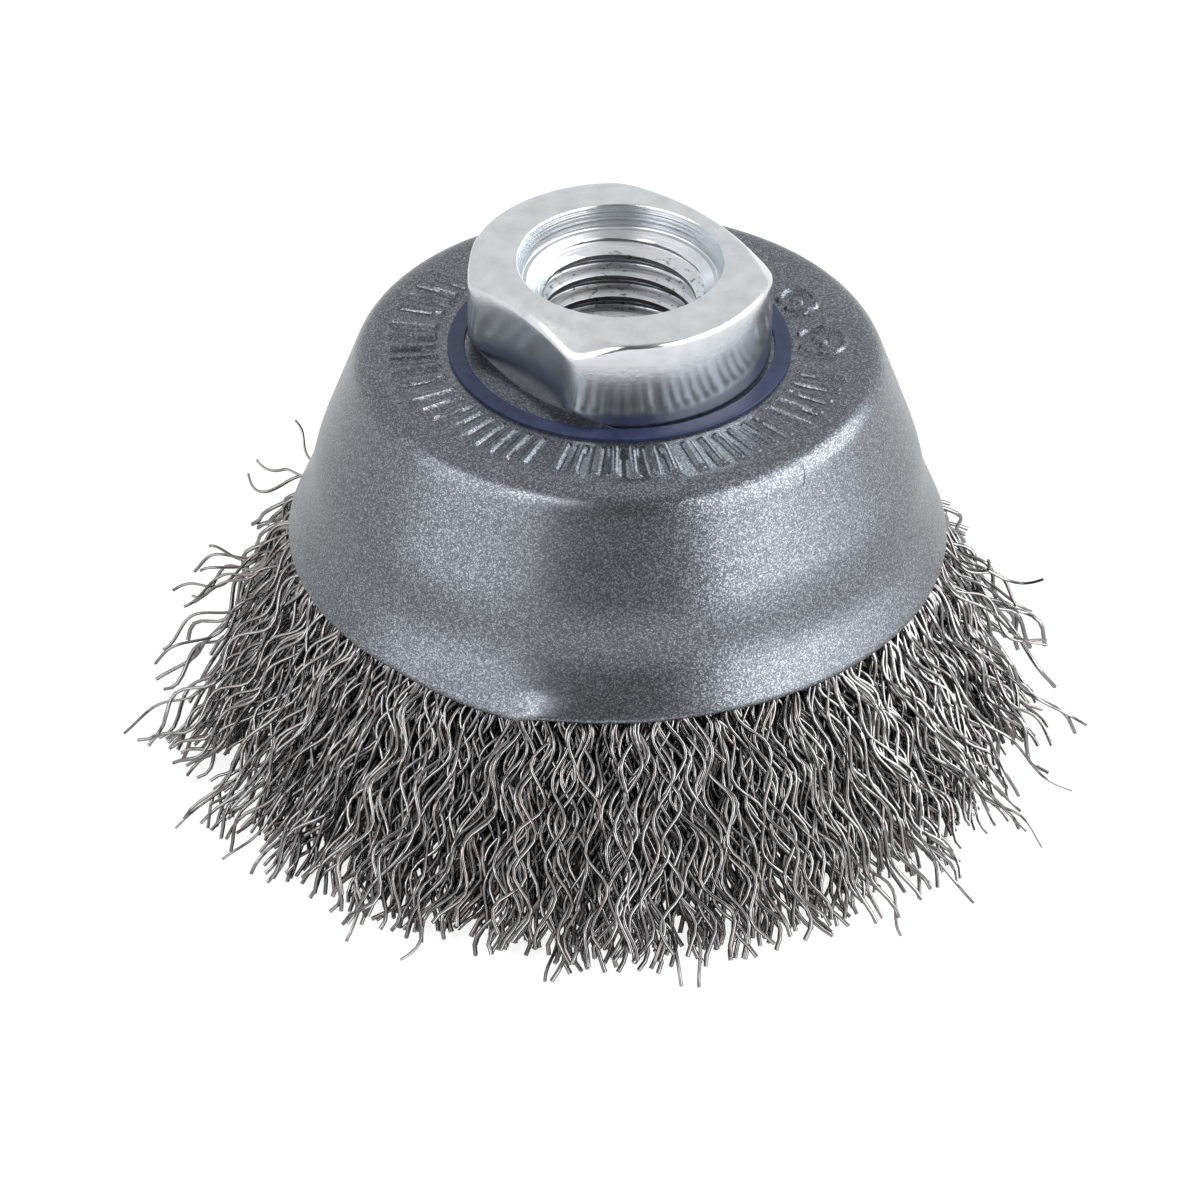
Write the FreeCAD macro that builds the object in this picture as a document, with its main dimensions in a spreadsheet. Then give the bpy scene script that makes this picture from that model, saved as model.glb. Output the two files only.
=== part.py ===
import FreeCAD, Part
import math
import os
import Sketcher

# Crimped wire cup brush. The axis is Z, the trimmed wire tips lie on Z = 0 and the nut is on top.
# Lengths are millimetres and angles are degrees.

SIZES = {
    # pressed outer cup
    "rim_level": 16.0,
    "cup_depth": 17.8,
    "crown_radius": 20.77,
    "cone_flare": 3.65,
    "waist_depth": 2.95,
    "waist_flare": 0.55,
    "band_depth": 4.75,
    "band_flare": 1.93,
    "shoulder_bend": 2.6,
    "shoulder_facets": 4.0,
    "cup_wall": 1.0,
    "rim_breadth": 1.25,
    # turned arbor nut with two wrench flats
    "nut_radius": 12.15,
    "nut_length": 8.2,
    "across_flats": 20.5,
    "flat_turn": 38.8,
    "bevel_shift": 10.0,
    "bevel_slope": 46.8,
    "top_bevel_width": 0.75,
    "foot_bevel_width": 0.2,
    "chamfer_width": 0.85,
    "chamfer_depth": 0.4,
    "recess_radius": 7.8,
    "recess_depth": 2.0,
    "mouth_flare": 0.45,
    "lead_in_depth": 1.7,
    "bore_radius": 6.1,
    "neck_radius": 8.8,
    "staked_lip_overhang": 1.2,
    "staked_lip_length": 1.1,
    # thin coloured ring round the foot of the nut
    "ring_gap": 0.25,
    "ring_width": 1.35,
    "ring_thickness": 0.3,
    # pressed inner cup that clamps the wires
    "inner_wall": 0.9,
    "inner_depth": 11.0,
    "inner_corner": 1.3,
    # hoop that the wires are doubled over
    "hoop_gap_above": 2.5,
    "hoop_height": 1.5,
    "hoop_width": 1.5,
    # locks of crimped wire
    "lock_count": 48.0,
    "lock_gap": 0.35,
    "lock_thickness": 0.9,
    "crimp_pitch": 6.6,
    "crimp_height": 1.7,
    "outer_splay": 12.9,
    "inner_splay": 3.6,
    "outer_fan": 2.7,
    "inner_fan": 2.0,
    "tip_scatter": 1.2,
    "side_gather": 4.5,
    # clearances
    "neck_clearance": 0.1,
    "wire_clearance": 0.2,
    "outer_bend_room": 0.65,
    "inner_bend_room": 0.2,
}

# Sizes that follow from others, as formulas for sketches and code alike.
CUP_TOP = "(sizes.rim_level + sizes.cup_depth)"
CUP_CEILING = "(%s - sizes.cup_wall)" % CUP_TOP
BAND_TOP = "(sizes.rim_level + sizes.band_depth)"
WAIST = "(%s + sizes.waist_depth)" % BAND_TOP
WAIST_RADIUS = "(sizes.crown_radius + sizes.cone_flare)"
BAND_TOP_RADIUS = "(%s + sizes.waist_flare)" % WAIST_RADIUS
RIM_RADIUS = "(%s + sizes.band_flare)" % BAND_TOP_RADIUS
RIM_INSIDE = "(%s - sizes.rim_breadth)" % RIM_RADIUS

# Slope of the cup's main cone, its wall's breadth in a level cut, and the bend of its shoulder.
CONE_SLOPE = "(sizes.cone_flare / (%s - %s))" % (CUP_TOP, WAIST)
SLANT_WALL = "(sizes.cup_wall / cos(atan(%s)))" % CONE_SLOPE
SHOULDER_TURN = "(90 deg - atan(%s))" % CONE_SLOPE
SHOULDER_CENTRE = "(sizes.crown_radius - sizes.shoulder_bend * tan(%s / 2))" % SHOULDER_TURN

# The wires pass between the cup's wall, the hoop and the inner cup, each clear of the next.
LEG_SPACE = "(sizes.lock_thickness + 2 * sizes.wire_clearance)"
HOOP_TOP = "(%s - sizes.hoop_gap_above)" % CUP_CEILING
WALL_BESIDE_HOOP = "(sizes.crown_radius + (%s - %s) * %s - %s)" % (
    CUP_TOP, HOOP_TOP, CONE_SLOPE, SLANT_WALL)
HOOP_OUTER = "(%s - %s - sizes.outer_bend_room)" % (WALL_BESIDE_HOOP, LEG_SPACE)
HOOP_INNER = "(%s - sizes.hoop_width)" % HOOP_OUTER
INNER_RADIUS = "(%s - %s - sizes.inner_bend_room)" % (HOOP_INNER, LEG_SPACE)
INNER_CEILING = "(%s - sizes.inner_wall)" % CUP_CEILING

NUT_TOP = "(%s + sizes.nut_length)" % CUP_TOP
RECESS_FLOOR = "(%s - sizes.recess_depth)" % NUT_TOP
LEAD_IN_FLOOR = "(%s - sizes.lead_in_depth)" % RECESS_FLOOR
STAKED_RADIUS = "(sizes.neck_radius + sizes.staked_lip_overhang)"
STAKED_END = "(%s - sizes.staked_lip_length)" % INNER_CEILING
NECK_HOLE = "(sizes.neck_radius + sizes.neck_clearance)"
RING_INNER = "(sizes.nut_radius + sizes.ring_gap)"
UP = FreeCAD.Vector(0, 0, 1)

doc = FreeCAD.newDocument("wire_cup_brush")
sheet = doc.addObject("Spreadsheet::Sheet", "sizes")
for row, (alias, number) in enumerate(SIZES.items(), start=1):
    sheet.set("A%d" % row, alias.replace("_", " "))
    sheet.set("B%d" % row, str(number))
    sheet.setAlias("B%d" % row, alias)
doc.recompute()


def value(formula):
    """Number that a formula of the sheet's aliases gives."""
    return float(sheet.evalExpression(formula))


def size(alias):
    """Value of one cell of the sheet."""
    return value("sizes." + alias)


def plane_of(body, role):
    """One of the body's own origin planes."""
    return next(item for item in body.Origin.OriginFeatures if item.Role == role)


def sketch_on(body, role, name):
    sketch = body.newObject("Sketcher::SketchObject", name)
    sketch.AttachmentSupport = (plane_of(body, role), [""])
    sketch.MapMode = "FlatFace"
    return sketch


def add_outline(sketch, name, corners):
    """Closed outline whose corners are pairs of formulas, each bound to the sheet."""
    places = [FreeCAD.Vector(value(x), value(y), 0) for x, y in corners]
    first = sketch.GeometryCount
    count = len(places)
    for number in range(count):
        line = Part.LineSegment(places[number], places[(number + 1) % count])
        sketch.addGeometry(line, False)
    for number in range(count):
        following = first + (number + 1) % count
        sketch.addConstraint(Sketcher.Constraint("Coincident", first + number, 2, following, 1))
    for number, (x, y) in enumerate(corners):
        for kind, formula in (("DistanceX", x), ("DistanceY", y)):
            if formula == "0":
                axis = -2 if kind == "DistanceX" else -1
                sketch.addConstraint(
                    Sketcher.Constraint("PointOnObject", first + number, 1, axis)
                )
                continue
            index = sketch.addConstraint(
                Sketcher.Constraint(kind, -1, 1, first + number, 1, value(formula))
            )
            label = "%s_%s_%d" % (name, kind[-1].lower(), number)
            sketch.renameConstraint(index, label)
            sketch.setExpression("Constraints." + label, formula)


def turned_body(label, corners):
    """Body revolved about Z from a half section of (radius, height) formulas."""
    body = doc.addObject("PartDesign::Body", label)
    section = sketch_on(body, "XZ_Plane", label + "_section")
    add_outline(section, "section", corners)
    turned = body.newObject("PartDesign::Revolution", label + "_turned")
    turned.Profile = section
    turned.ReferenceAxis = (section, ["V_Axis"])
    turned.Angle = 360
    section.Visibility = False
    doc.recompute()
    return body


def shoulder_bend(bend, facets):
    """Facets of the cup's shoulder from its top plane down to its cone, as formulas."""
    corners = []
    for number in range(facets + 1):
        turned = "(%s * %d / %d)" % (SHOULDER_TURN, number, facets)
        corners.append((
            "(%s + %s * sin%s)" % (SHOULDER_CENTRE, bend, turned),
            "(%s - sizes.shoulder_bend + %s * cos%s)" % (CUP_TOP, bend, turned),
        ))
    return corners


def make_cup_shell():
    outside = [
        (RIM_RADIUS, "sizes.rim_level"),
        (BAND_TOP_RADIUS, BAND_TOP),
        (WAIST_RADIUS, WAIST),
    ]
    outside += shoulder_bend("sizes.shoulder_bend", int(size("shoulder_facets")))[::-1]
    hole = [(NECK_HOLE, CUP_TOP), (NECK_HOLE, CUP_CEILING)]
    # The inside runs straight from the shoulder to the rim, because the wires hide it.
    inside = shoulder_bend("(sizes.shoulder_bend - sizes.cup_wall)", 1)
    inside.append((RIM_INSIDE, "sizes.rim_level"))
    return turned_body("cup_shell", outside + hole + inside)


def make_inner_cup():
    foot = "(%s - sizes.inner_depth)" % CUP_CEILING
    inside = "(%s - sizes.inner_wall)" % INNER_RADIUS
    return turned_body("inner_cup", [
        (INNER_RADIUS, foot),
        (INNER_RADIUS, "(%s - sizes.inner_corner)" % CUP_CEILING),
        ("(%s - sizes.inner_corner)" % INNER_RADIUS, CUP_CEILING),
        (NECK_HOLE, CUP_CEILING),
        (NECK_HOLE, INNER_CEILING),
        (inside, INNER_CEILING),
        (inside, foot),
    ])


def turned_nut():
    """The nut before its flats: round head, neck, staked lip and plain bore."""
    return turned_body("arbor_nut", [
        ("(sizes.recess_radius + sizes.mouth_flare)", NUT_TOP),
        ("(sizes.nut_radius - sizes.chamfer_width)", NUT_TOP),
        ("sizes.nut_radius", "(%s - sizes.chamfer_depth)" % NUT_TOP),
        ("sizes.nut_radius", CUP_TOP),
        ("sizes.neck_radius", CUP_TOP),
        ("sizes.neck_radius", INNER_CEILING),
        (STAKED_RADIUS, INNER_CEILING),
        (STAKED_RADIUS, STAKED_END),
        ("sizes.bore_radius", STAKED_END),
        ("sizes.bore_radius", LEAD_IN_FLOOR),
        ("sizes.recess_radius", RECESS_FLOOR),
    ])


def cut_wrench_flats(body):
    """One flat squared off across the round, and its twin opposite."""
    outline = sketch_on(body, "XY_Plane", "flat_outline")
    flat = "(sizes.across_flats / 2)"
    reach = "(2 * sizes.nut_radius)"
    add_outline(outline, "flat", [
        (flat, "-" + reach), (reach, "-" + reach), (reach, reach), (flat, reach),
    ])
    cut = body.newObject("PartDesign::Pocket", "wrench_flat")
    cut.Profile = outline
    cut.Type = "ThroughAll"
    cut.Midplane = True
    body.Tip = cut
    doc.recompute()
    mirror_across(body, cut, "wrench_flats")


def cut_flat_bevels(body):
    """Bevels above and below each flat.

    They are cones about an axis set off from the nut's own, so they are widest at the flat's
    corners and run out round the sides.
    """
    section = sketch_on(body, "XZ_Plane", "bevel_section")
    slope = "tan(sizes.bevel_slope * 1 deg)"
    for name, width, level, outward, inward in (
        ("top", "sizes.top_bevel_width", NUT_TOP, "+", "-"),
        ("foot", "sizes.foot_bevel_width", CUP_TOP, "-", "+"),
    ):
        start = "(sizes.across_flats / 2 - %s)" % width
        end = "(%s + sizes.nut_radius)" % start
        clear = "(%s %s %s)" % (level, outward, slope)
        add_outline(section, name, [
            ("(%s - 1)" % start, clear),
            (end, "(%s %s sizes.nut_radius * %s)" % (level, inward, slope)),
            (end, clear),
        ])
    foot = FreeCAD.Vector(-size("bevel_shift"), 0, 0)
    axis = section.addGeometry(Part.LineSegment(foot, foot + FreeCAD.Vector(0, 1, 0)), True)
    section.addConstraint(Sketcher.Constraint("Vertical", axis))
    section.addConstraint(Sketcher.Constraint("PointOnObject", axis, 1, -1))
    section.addConstraint(Sketcher.Constraint("Distance", axis, 1))
    index = section.addConstraint(Sketcher.Constraint("DistanceX", -1, 1, axis, 1, foot.x))
    section.renameConstraint(index, "axis_x")
    section.setExpression("Constraints.axis_x", "-sizes.bevel_shift")
    bevel = body.newObject("PartDesign::Groove", "flat_bevel")
    bevel.Profile = section
    bevel.ReferenceAxis = (section, ["Axis0"])
    bevel.Angle = 360
    body.Tip = bevel
    doc.recompute()
    mirror_across(body, bevel, "flat_bevels")


def make_arbor_nut():
    body = turned_nut()
    cut_wrench_flats(body)
    cut_flat_bevels(body)
    body.Placement.Rotation = FreeCAD.Rotation(UP, size("flat_turn"))
    body.setExpression("Placement.Rotation.Angle", "sizes.flat_turn * 1 deg")
    return body


def mirror_across(body, feature, name):
    """The same cut on the other side of the YZ plane."""
    twin = body.newObject("PartDesign::Mirrored", name)
    twin.Originals = [feature]
    twin.MirrorPlane = (plane_of(body, "YZ_Plane"), [""])
    body.Tip = twin
    doc.recompute()
    return twin


def make_ring(label, inner, outer, foot, top):
    return turned_body(label, [(inner, foot), (outer, foot), (outer, top), (inner, top)])


def bent_bar(course, side, width, thickness):
    """Three-sided bar along straight runs, mitred at each bend, with level ends.

    The course is a list of points, each with the bar's size there against its plain size.
    """
    points, fans = zip(*course)
    runs = [(b - a).normalize() for a, b in zip(points, points[1:])]
    across = side - runs[0] * side.dot(runs[0])
    across.normalize()
    through = runs[0].cross(across)
    section = [
        across * (width / 2 * sx) + through * (thickness / 2 * sy)
        for sx, sy in ((1, -1), (-1, -1), (0, 1))
    ]
    slant = runs[0].dot(UP)
    rings = [[points[0] + (p - runs[0] * (p.dot(UP) / slant)) * fans[0] for p in section]]
    cuts = [a + b for a, b in zip(runs, runs[1:])] + [UP]
    for number, (run, cut) in enumerate(zip(runs, cuts)):
        start, end = points[number], points[number + 1]
        widening = (fans[number + 1] / fans[number] - 1) / (end - start).Length
        ring = []
        for p in rings[-1]:
            along = run + (p - start) * widening
            ring.append(p + along * ((end - p).dot(cut) / along.dot(cut)))
        rings.append(ring)
    faces = [flat_face(rings[0]), flat_face(rings[-1])]
    for low, high in zip(rings, rings[1:]):
        for a in range(3):
            b = (a + 1) % 3
            faces.append(flat_face([low[a], low[b], high[b], high[a]]))
    solid = Part.makeSolid(Part.makeShell(faces))
    if solid.Volume < 0:
        solid.reverse()
    return solid


def flat_face(corners):
    return Part.Face(Part.makePolygon(corners + corners[:1]))


def crimped_leg(exit_point, tip, side, phase, fan):
    """Course of a crimped leg that fans out from where it leaves the cup to its trimmed tip."""
    half_wave = size("crimp_pitch") / 2
    swing = size("crimp_height") / 2
    line = tip - exit_point
    length = line.Length
    bends = int(length / half_wave)
    course = [(exit_point, 1)]
    for number in range(bends):
        along = (number + 0.5) * half_wave / length
        bend = exit_point + line * along + side * (swing * phase)
        course.append((bend, 1 + (fan - 1) * along))
        phase = -phase
    course.append((tip, fan))
    return course


def make_lock(number, count):
    """Bundle of crimped wires doubled over the hoop, with an outer and an inner leg."""
    angle = 2 * math.pi * number / count
    outward = FreeCAD.Vector(math.cos(angle), math.sin(angle), 0)
    side = FreeCAD.Vector(-math.sin(angle), math.cos(angle), 0)

    def place(radius, level):
        return outward * radius + UP * level

    half = size("lock_thickness") / 2
    gap = size("wire_clearance")
    layer = size("lock_thickness") + gap
    bridge = value(HOOP_TOP) + gap + half
    over_outside = value(HOOP_OUTER) + gap + half
    over_inside = value(INNER_RADIUS) + gap + half
    width = 2 * math.pi * over_inside / count - size("lock_gap")

    # Neighbouring locks take turns in the four layers between the cup and the hollow.
    first = number % 2 == 0
    rim = size("rim_level")
    inside_rim = value(RIM_INSIDE) - half - 2 * gap
    outer_exit = place(inside_rim - (0 if first else layer), rim)
    inner_exit = place(over_inside + (layer if first else 0), rim)
    outermost = value(RIM_RADIUS) + size("outer_splay")
    innermost = value(INNER_RADIUS) + size("inner_splay")
    spread = (outermost - innermost) / 3
    scatter = size("tip_scatter") * math.sin(golden_turn(number % (count // 2)))
    # The skirt has opened less at the two sides, where only every fourth lock reaches right out.
    gather = size("side_gather") * outward.x ** 4
    spread -= gather / 3
    if first:
        outer_tip = place(outermost - (gather if number % 4 else 0) + scatter, 0)
        inner_tip = place(innermost + spread, 0)
    else:
        outer_tip = place(innermost + 2 * spread + scatter, 0)
        inner_tip = place(innermost, 0)

    phase = 1 if first else -1
    outer_leg = crimped_leg(outer_exit, outer_tip, side, phase, size("outer_fan"))
    inner_leg = crimped_leg(inner_exit, inner_tip, side, -phase, size("inner_fan"))
    over_hoop = [(place(over_outside, bridge), 1), (place(over_inside, bridge), 1)]
    course = outer_leg[::-1] + over_hoop + inner_leg
    return bent_bar(course, side, width, size("lock_thickness"))


def golden_turn(number):
    """Angle that scatters evenly from one number to the next."""
    return number * math.pi * (3 - math.sqrt(5))


def make_wire_locks():
    count = int(size("lock_count"))
    locks = []
    for number in range(count):
        lock = doc.addObject("Part::Feature", "wire_lock_%02d" % (number + 1))
        lock.Shape = make_lock(number, count)
        locks.append(lock)
    return locks


def check(parts):
    for item in doc.Objects:
        if "Invalid" in item.State or "Error" in item.State:
            raise RuntimeError("%s failed: %s" % (item.Name, item.State))
    for part in parts:
        if part.Shape.isNull() or not part.Shape.isValid():
            raise RuntimeError("%s has no valid shape" % part.Label)


parts = [
    make_cup_shell(),
    make_arbor_nut(),
    make_ring("colour_ring", RING_INNER, "(%s + sizes.ring_width)" % RING_INNER,
              CUP_TOP, "(%s + sizes.ring_thickness)" % CUP_TOP),
    make_inner_cup(),
    make_ring("holding_hoop", HOOP_INNER, HOOP_OUTER,
              "(%s - sizes.hoop_height)" % HOOP_TOP, HOOP_TOP),
]
parts += make_wire_locks()
doc.recompute()
check(parts)

os.makedirs("parts", exist_ok=True)
for part in parts:
    part.Shape.exportStep("parts/%s.step" % part.Label)
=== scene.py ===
import bmesh
import bpy
import math
import numpy as np
from mathutils import Matrix, Vector


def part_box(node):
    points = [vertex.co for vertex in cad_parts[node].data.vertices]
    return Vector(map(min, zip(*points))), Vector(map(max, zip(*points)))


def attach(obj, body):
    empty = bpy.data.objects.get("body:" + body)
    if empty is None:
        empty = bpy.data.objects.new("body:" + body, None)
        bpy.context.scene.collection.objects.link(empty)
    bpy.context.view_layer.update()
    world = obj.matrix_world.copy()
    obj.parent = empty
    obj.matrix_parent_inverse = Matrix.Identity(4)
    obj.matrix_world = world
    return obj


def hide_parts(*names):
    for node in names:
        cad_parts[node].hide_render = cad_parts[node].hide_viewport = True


# Crimped wire cup brush, standing on its wire tips with the arbor nut on top. Lengths are in
# millimetres and angles in degrees, until a mesh or camera is made from them. The lamps and the
# floor are given in metres.

MM = 0.001
FULL_TURN = 2 * math.pi

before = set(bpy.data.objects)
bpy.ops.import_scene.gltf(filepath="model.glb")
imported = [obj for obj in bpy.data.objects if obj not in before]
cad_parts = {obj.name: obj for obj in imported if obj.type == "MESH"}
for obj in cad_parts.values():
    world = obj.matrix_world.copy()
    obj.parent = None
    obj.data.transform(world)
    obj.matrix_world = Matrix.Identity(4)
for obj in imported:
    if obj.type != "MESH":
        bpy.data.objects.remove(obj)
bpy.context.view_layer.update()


def box_of(node):
    """Lowest and highest corner of a CAD node, in millimetres."""
    return [np.array(corner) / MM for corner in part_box(node)]


cup_low, cup_high = box_of("cup_shell")
nut_low, nut_high = box_of("arbor_nut")
ring_low, ring_high = box_of("colour_ring")
hoop_high = box_of("holding_hoop")[1]
RIM_LEVEL, CUP_TOP, RIM_RADIUS = cup_low[2], cup_high[2], cup_high[0]
NUT_TOP, STAKED_END, NUT_RADIUS = nut_high[2], nut_low[2], nut_high[0]
RING_FOOT, RING_TOP, RING_RADIUS = ring_low[2], ring_high[2], ring_high[0]
HOOP_TOP, HOOP_RADIUS = hoop_high[2], hoop_high[0]
LOCKS = sorted(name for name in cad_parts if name.startswith("wire_lock"))

# The steps are the longest ones between rows of the mesh.
CUP = {
    "columns": 600,
    "wall": 1.0,
    "neck_hole": 8.9,
    "crown_radius": 20.77,
    "ceiling_radius": 20.05,
    "shoulder_bend": 2.6,
    "waist": (24.42, 7.7),
    "waist_bend": 18.0,
    "band_top": (24.97, 4.75),
    "band_bend": 12.0,
    "rim_breadth": 1.25,
    "rim_edge": 0.42,
    "seat_step": 1.3,
    "mark_step": 0.17,
    "shoulder_step": 0.55,
    "flank_step": 0.45,
    "rim_step": 0.3,
    "hidden_step": 2.0,
    "hole_step": 1.0,
}
# Plain pressed marks on the crown: where the mesh gets fine for them, how far the bars reach from
# the axis, half the bars' width and half the rings' line, and the dot as a share of its ring.
MARKS = {
    "fine_from": 14.3,
    "reach": (14.7, 18.6),
    "height": 0.36,
    "half_width": 0.3,
    "soft_edge": 0.2,
    "ring_line": 0.21,
    "dot_share": 0.3,
}
# Groups of plain radial bars on the crown: first and last angle, and how many.
MARK_GROUPS = (
    (146, 163, 4), (171, 199, 6), (207, 246, 9), (254, 284, 7), (291, 317, 6), (324, 346, 5),
)
# Plain rings with a dot inside: distance from the axis, angle, and size.
MARK_RINGS = ((16.1, 3.0, 1.95), (15.8, 25.0, 1.6))
# The rim is bent out and down left of the front, with a kink where the bend ends.
RIM_BEND = {
    "angle": (229, 242.5, 250, 253.2, 255, 257, 260, 264, 273, 285),
    "out": (0, 0.12, 0.3, 0.55, 0.62, 0.6, 0.48, 0.28, 0.08, 0),
    "down": (0, 0.49, 0.62, 0.6, 0.25, 0.06, 0.03, 0.1, 0.15, 0),
    "height": 2.3,
}
# Scratches in the paint: angle and height of both ends, and how dark.
SCRATCHES = (
    ((-46.5, 32.9), (-46.9, 32.1), 0.3),
    ((-46.9, 32.1), (-47.8, 31.4), 0.3),
    ((-21.0, 21.5), (-16.3, 20.6), 0.55),
)

NUT = {
    "columns": 300,
    "across_flats": 20.5,
    "flat_turn": 38.8,
    "bevel_shift": 10.0,
    "bevel_slope": 46.8,
    "top_bevel": 0.75,
    "foot_bevel": 0.2,
    "foot_edge": 0.1,
    "chamfer_width": 0.85,
    "chamfer_drop": 0.4,
    "corner_blend": 0.5,
    "bevel_blend": 0.25,
    "mouth_radius": 8.25,
    "recess_radius": 7.8,
    "recess_depth": 2.0,
    "lead_in_radius": 7.45,
    "neck_radius": 8.8,
    "lip_radius": 10.0,
    "lip_taper": 0.4,
    "lip_top": 31.9,
    "exit_radius": 7.2,
    "recess_round": 0.12,
    "mouth_round": 0.2,
    "top_round": 0.5,
    "side_round": 0.45,
    "foot_round": 0.15,
    "lip_round": 0.3,
    "round_limit": 0.45,
}
RECESS_FLOOR = NUT_TOP - NUT["recess_depth"]
# The thread's turn says where the crest ends, the root starts and ends, and the crest starts
# again, as shares of the pitch.
THREAD = {
    "crest_radius": 6.1,
    "root_radius": 7.0,
    "pitch": 2.0,
    "start": 0.5,
    "turn": (0, 0.11, 0.43, 0.57, 0.89, 1),
    "steps": 20,
}

RING = {
    "columns": 300,
    "gap": 0.25,
    "inner_edge": 0.08,
    "outer_edge": 0.14,
    "top_step": 0.3,
    "side_step": 0.2,
    "hidden_step": 0.5,
}

# The slopes are the innermost wires' own, and how much more the outermost wires have.
WIRE = {
    "radius": 0.15,
    "roundness": 0.86,
    "sectors": 8,
    "strand": 2,
    "share_power": 0.8,
    "inside_exit": 16.6,
    "outside_exit": 25.35,
    "over_hoop": (0.5, -2.2),
    "above_hoop": 0.6,
    "mouth_rise": 2.5,
    "wall_slope": (0.06, 0.34),
    "open_slope": (0.10, 0.48),
    "bend_reach": 0.45,
    "inside_tip": 19.5,
    "tip_power": 1.1,
    "furthest_tip": 41.7,
    "tip_margin": (0.9, 1.6),
    "loose": 0.08,
    "loose_from": 0.6,
    "loose_reach": (1.5, 5.0),
    "length": 20.3,
    "least_drop_squared": 30.0,
    "lowest_tip": 0.35,
    "lowest": 0.2,
    "lean_power": 1.3,
    "crimp_pitch": 6.7,
    "crimp_swing": 0.8,
    "crimp_fade": (-0.5, 2.2),
    "clump_columns": 44,
    "clump_layers": 4,
    "clump_pull": (0.2, 0.75),
    # Painted shade of the wires: how much brighter the outermost ones are than the inner ones, and
    # the share where the change starts.
    "outside_shade": 0.75,
    "shade_from": 0.3,
}
# How far the wires differ, from clump to clump, strand to strand and wire to wire. The clumps'
# turns, the planes and the phases are in radians, and pitch and swing are factors.
SCATTER = {
    "clump_turn": 0.02,
    "clump_lean": 2.0,
    "clump_tip": 0.8,
    "strand_lean": 2.2,
    "strand_tip": 0.9,
    "strand_plane": 0.55,
    "strand_phase": 0.95,
    "strand_pitch": (0.94, 1.06),
    "wire_turn": 0.8,
    "wire_share": 0.06,
    "wire_lean": 1.0,
    "wire_tip": 0.5,
    "wire_length": 0.45,
    "wire_level": 0.45,
    "wire_bow": 1.3,
    "wire_plane": 0.2,
    "wire_phase": 0.3,
    "wire_pitch": 0.012,
    "wire_swing": (0.8, 1.12),
    "wire_shade": 0.3,
}
# Layers from the hollow to the cup's wall: count, points along a wire, sides, first and last share.
LAYERS = ((1100, 16, 3, 0.0, 0.4), (1000, 24, 3, 0.4, 0.72), (1420, 38, 4, 0.72, 1.0))
# The skirt has opened further at the front than at the back: angle, reach of the outer tips.
OPENING = (
    (0, 30.0), (14, 30.6), (35, 34.6), (90, 36.2), (145, 34.6), (163, 30.6), (178, 30.8), (186, 33.8),
    (198, 36.3), (210, 37.2), (225, 37.8), (240, 39.2), (270, 39.9), (290, 39.4), (305, 38.2),
    (320, 36.8), (335, 35.0), (345, 33.0), (353, 31.6), (360, 30.0),
)
STRAY = {
    "radius": 0.12,
    "sides": 4,
    "exit_radius": 24.6,
    "exit_rise": 1.0,
    "middle_radius": 29.0,
    "middle_drop": 1.0,
    "below_rim": 4.5,
    "latest_phase": 6.0,
    "crimp_from": 0.25,
    "shade": (0.6, 1.0),
}
# Single wires that stand out from the skirt: exit angle, tip angle, tip radius and tip level.
STRAYS = (
    (152, 150, 31.7, 15.3), (160, 158, 31.8, 14.6), (161, 159.5, 32.8, 13.0),
    (176, 175, 35.0, 9.5), (177, 176.5, 33.5, 11.5),
    (179, 178, 36.5, 8.0), (180, 180, 35.5, 8.5), (182, 181, 34.5, 9.0), (178, 175, 34.0, 9.0),
    (183, 184, 37.5, 6.0), (185, 184, 38.0, 4.0), (358, 355, 30.4, 15.0), (358, 356, 34.9, 13.0),
    (350, 348, 35.6, 10.0), (356, 357, 33.5, 9.5), (354, 353, 35.0, 7.5), (2, 1, 33.0, 9.0),
    (194, 192, 41.0, 1.5), (174, 170, 35.8, 5.0), (5, 6, 34.5, 5.5),
    (276, 277.5, 41.0, 0.8), (278, 280, 40.8, 0.5), (240, 239, 41.0, 1.0), (247, 246, 40.9, 0.6),
    (212, 211, 41.0, 1.0), (222, 221, 41.0, 2.0), (325, 327, 41.0, 1.2), (312, 314, 41.0, 0.8),
    (303, 305, 40.6, 0.8), (335, 336, 40.2, 2.0), (345, 347, 39.4, 3.0), (262, 263, 40.8, 0.7),
)
SEED = 20


# Shared steps of the shapes


def smooth_step(low, high, at):
    t = np.clip((at - low) / (high - low), 0.0, 1.0)
    return t * t * (3 - 2 * t)


def curve(start, middle, stop, t):
    """Place on the bend that leaves the start towards the middle and comes from there to the stop."""
    return (1 - t) ** 2 * start + 2 * t * (1 - t) * middle + t * t * stop


def unit(vectors):
    return vectors / np.linalg.norm(vectors, axis=-1, keepdims=True)


def square_to(run, direction):
    """Unit vector along the part of the direction that is square to the run."""
    return unit(direction - run * np.sum(direction * run, axis=-1, keepdims=True))


def polar_points(radius, angle, height):
    radius, angle, height = np.broadcast_arrays(radius, angle, height)
    return np.stack([radius * np.cos(angle), radius * np.sin(angle), height], axis=-1)


def profile_points(radius, height):
    return np.stack(np.broadcast_arrays(radius, height), axis=-1)


def finish_piece(piece, material, slot, *nodes):
    """The piece takes its material and, when nodes are given, rides the brush in place of them; the
    slot is not used.
    """
    piece.data.materials.clear()
    piece.data.materials.append(material)
    if nodes:
        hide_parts(*nodes)
        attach(piece, "root")


def mesh_piece(name, points, faces, crease):
    """Smooth mesh object from millimetre points; edges over the crease angle stay sharp."""
    mesh = bpy.data.meshes.new(name)
    mesh.from_pydata((points * MM).tolist(), [], faces)
    work = bmesh.new()
    work.from_mesh(mesh)
    bmesh.ops.remove_doubles(work, verts=work.verts, dist=1e-7)
    work.to_mesh(mesh)
    work.free()
    mesh.shade_smooth()
    mesh.set_sharp_from_angle(angle=math.radians(crease))
    piece = bpy.data.objects.new(name, mesh)
    bpy.context.scene.collection.objects.link(piece)
    return piece


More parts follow.
